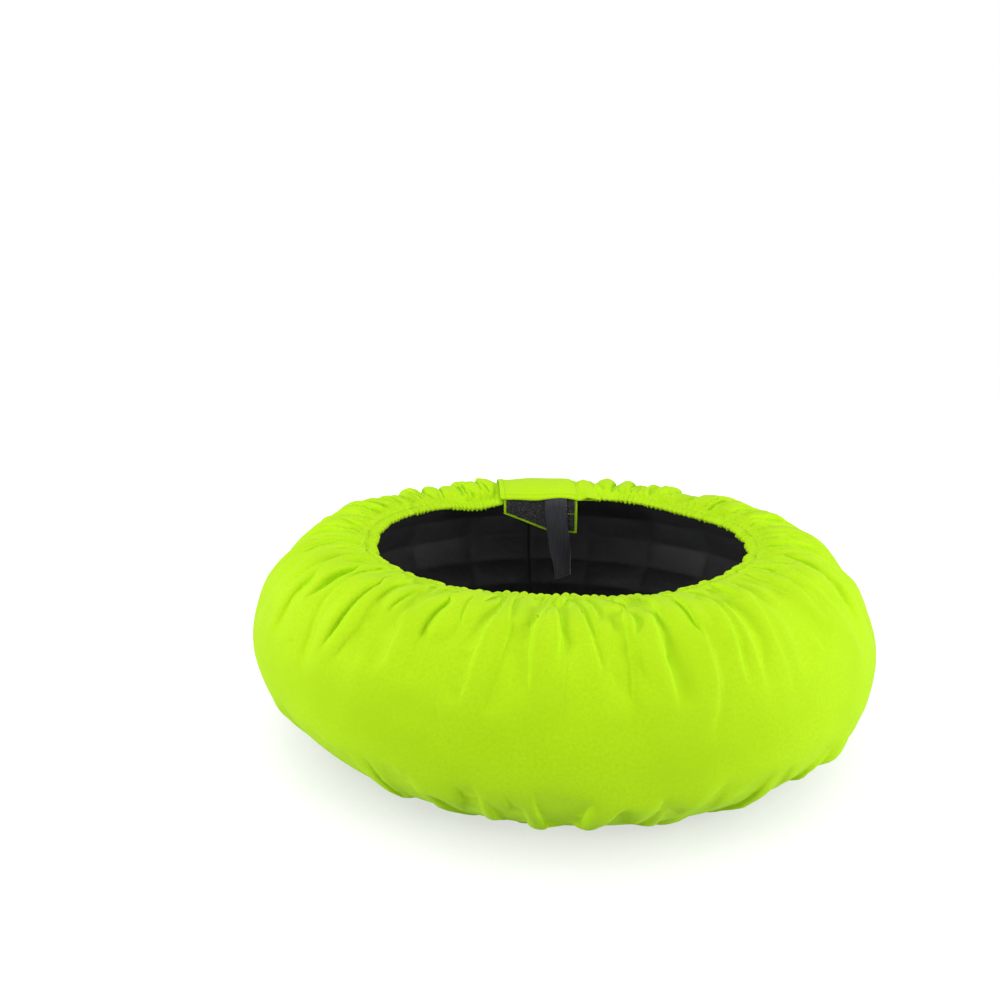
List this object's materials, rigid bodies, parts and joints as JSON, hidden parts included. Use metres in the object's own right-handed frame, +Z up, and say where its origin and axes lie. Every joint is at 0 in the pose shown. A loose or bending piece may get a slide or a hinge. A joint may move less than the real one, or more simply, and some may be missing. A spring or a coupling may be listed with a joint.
{
  "type": "motorcycle tire warmer",
  "caption": "Gathered fabric ring that wraps a motorcycle rear tyre and heats it: elastic hems, felt, heating wire, dark lining, and a hook-and-loop flap closure with a pull strap.",
  "frame": {"origin": "on the floor, under the middle of the ring's box", "axes": "+Z up along the ring's axis, +Y towards the back where the closure flap is, +X to the right as seen from the front"},
  "size_m": [0.68, 0.685, 0.212],
  "materials": {
    "cover_fabric": "matte fluorescent yellow-green woven polyester",
    "elastic_web": "black woven elastic",
    "heat_felt": "off-white needled felt",
    "lining_fabric": "black heat-resistant cloth",
    "loop_tape": "black brushed loop pile",
    "hook_tape": "black nylon hooks",
    "silicone_wire": "satin red silicone insulation",
    "supply_wire": "satin grey insulation",
    "black_rubber": "moulded black rubber",
    "phenolic_case": "brown moulded phenolic",
    "tinned_case": "tinned metal case"
  },
  "bodies": {
    "root": {"outer_cover": "cover_fabric", "top_hem_elastic": "elastic_web", "bottom_hem_elastic": "elastic_web", "insulation_felt": "heat_felt", "inner_lining": "lining_fabric", "closure_tongue": "cover_fabric", "tongue_loop_tape": "loop_tape", "flap_hook_tape": "hook_tape", "closure_flap": "cover_fabric", "pull_strap": "loop_tape", "heating_wire": "silicone_wire", "supply_lead_live": "supply_wire", "supply_lead_neutral": "supply_wire", "switch_lead": "supply_wire", "fuse_lead": "supply_wire", "cable_grommet": "black_rubber", "temperature_switch": "phenolic_case", "thermal_fuse": "tinned_case", "live_wire_joint": "tinned_case", "neutral_wire_joint": "tinned_case"}
  },
  "joints": []
}
